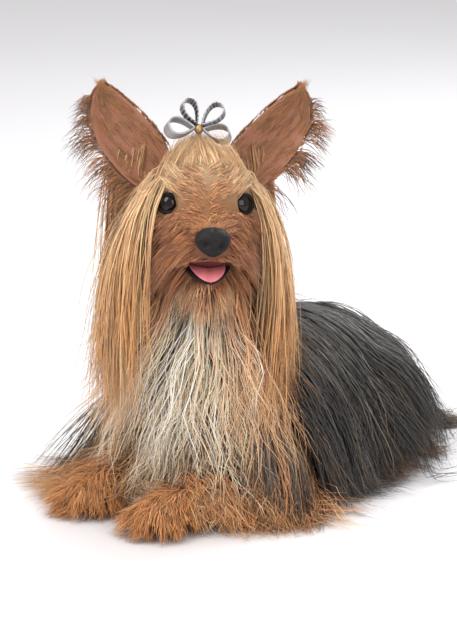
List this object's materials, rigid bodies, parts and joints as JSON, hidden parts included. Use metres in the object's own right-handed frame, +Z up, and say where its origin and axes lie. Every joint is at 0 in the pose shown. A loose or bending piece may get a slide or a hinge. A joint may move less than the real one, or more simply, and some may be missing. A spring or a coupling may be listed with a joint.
{
  "type": "yorkshire terrier",
  "caption": "Still life-size Yorkshire terrier in full floor-length coat, lying with its head up, with a ribbon bow on the crown.",
  "frame": {"origin": "middle of the trunk on the plane that the belly, paws and coat rest on", "axes": "+Z up, the chest end of the trunk to -Y, the dog's own left side to +X, the head turned 40 degrees to its left"},
  "size_m": [0.3073, 0.3837, 0.2828],
  "materials": {
    "eye": "near-black brown eyes, wet gloss",
    "nose": "black nose leather, moist and pebbled",
    "face_coat": "deep rust and tan facial hair",
    "tongue": "pink tongue, moist",
    "ear": "short rust hair, pink-brown skin inside",
    "ribbon": "silver satin ribbon",
    "blond_coat": "long silky golden tan hair",
    "chest_coat": "long silky cream hair",
    "rust_coat": "rust tan leg hair",
    "steel_coat": "long silky steel-grey to black hair"
  },
  "bodies": {
    "root": {"eye_left": "eye", "eye_right": "eye", "nose": "nose", "head": "face_coat", "jaw": "face_coat", "tongue": "tongue", "ear_left": "ear", "ear_right": "ear", "bow_knot": "ribbon", "bow_loop_top_left": "ribbon", "bow_loop_top_right": "ribbon", "bow_loop_low_left": "ribbon", "bow_loop_low_right": "ribbon", "fall_left": "blond_coat", "fall_right": "blond_coat", "neck": "chest_coat", "forepaw_left": "rust_coat", "foreleg_left": "rust_coat", "forepaw_right": "rust_coat", "foreleg_right": "rust_coat", "hindfoot_left": "rust_coat", "hindleg_left": "steel_coat", "hindfoot_right": "rust_coat", "hindleg_right": "steel_coat", "tail": "steel_coat", "torso": "steel_coat"}
  },
  "joints": []
}
